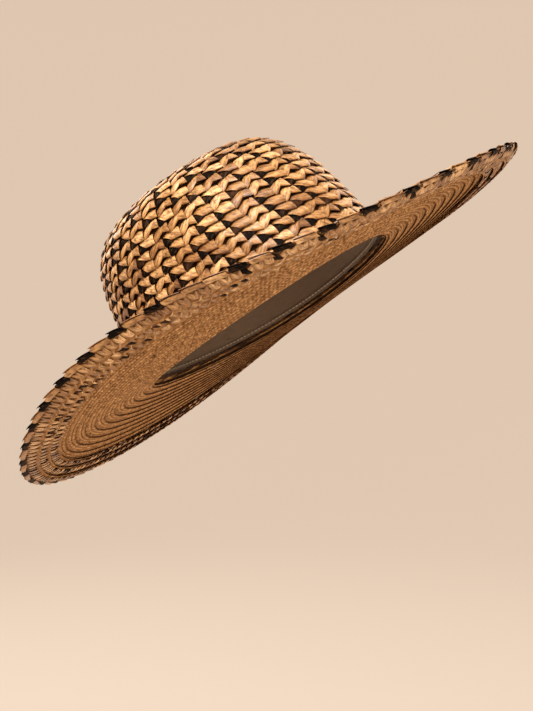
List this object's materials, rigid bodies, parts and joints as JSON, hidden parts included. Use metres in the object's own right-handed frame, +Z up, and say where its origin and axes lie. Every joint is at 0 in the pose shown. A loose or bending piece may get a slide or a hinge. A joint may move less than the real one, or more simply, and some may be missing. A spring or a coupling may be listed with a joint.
{
  "type": "wide-brimmed straw hat",
  "caption": "Wide-brimmed sun hat sewn in rows from plaited two-tone straw, with a domed crown and a brim that curls up at the sides.",
  "frame": {"origin": "under the middle of the hat, on the plane that its brim rests on", "axes": "+X to the front of the hat, +Y to the wearer's left, +Z up through the crown"},
  "size_m": [0.4434, 0.3754, 0.1357],
  "materials": {
    "two_tone_straw": "satin",
    "plain_straw": "satin",
    "band_cloth": "matte",
    "tab_cloth": "matte"
  },
  "bodies": {
    "root": {"brim_row_01": "two_tone_straw", "brim_row_02": "two_tone_straw", "brim_row_03": "two_tone_straw", "brim_row_04": "two_tone_straw", "brim_row_05": "two_tone_straw", "brim_row_06": "two_tone_straw", "brim_row_07": "two_tone_straw", "brim_row_08": "two_tone_straw", "brim_row_09": "two_tone_straw", "brim_row_10": "two_tone_straw", "brim_row_11": "two_tone_straw", "brim_row_12": "two_tone_straw", "brim_row_13": "two_tone_straw", "crown_row_01": "two_tone_straw", "crown_row_02": "two_tone_straw", "crown_row_03": "two_tone_straw", "crown_row_04": "two_tone_straw", "crown_row_05": "two_tone_straw", "crown_row_06": "two_tone_straw", "crown_row_07": "two_tone_straw", "crown_row_08": "two_tone_straw", "crown_row_09": "two_tone_straw", "crown_row_10": "two_tone_straw", "crown_row_11": "two_tone_straw", "crown_row_12": "two_tone_straw", "crown_row_13": "two_tone_straw", "crown_row_14": "two_tone_straw", "crown_row_15": "two_tone_straw", "crown_row_16": "two_tone_straw", "crown_row_17": "two_tone_straw", "crown_row_18": "two_tone_straw", "crown_row_19": "two_tone_straw", "crown_row_20": "two_tone_straw", "crown_row_21": "two_tone_straw", "crown_row_22": "two_tone_straw", "facing_row_01": "plain_straw", "facing_row_02": "plain_straw", "facing_row_03": "plain_straw", "facing_row_04": "plain_straw", "facing_row_05": "plain_straw", "facing_row_06": "plain_straw", "facing_row_07": "plain_straw", "facing_row_08": "plain_straw", "facing_row_09": "plain_straw", "facing_row_10": "plain_straw", "sweatband": "band_cloth", "sweatband_tab": "tab_cloth", "tip_coil": "two_tone_straw", "under_row_01": "two_tone_straw", "under_row_02": "two_tone_straw", "under_row_03": "two_tone_straw"}
  },
  "joints": []
}
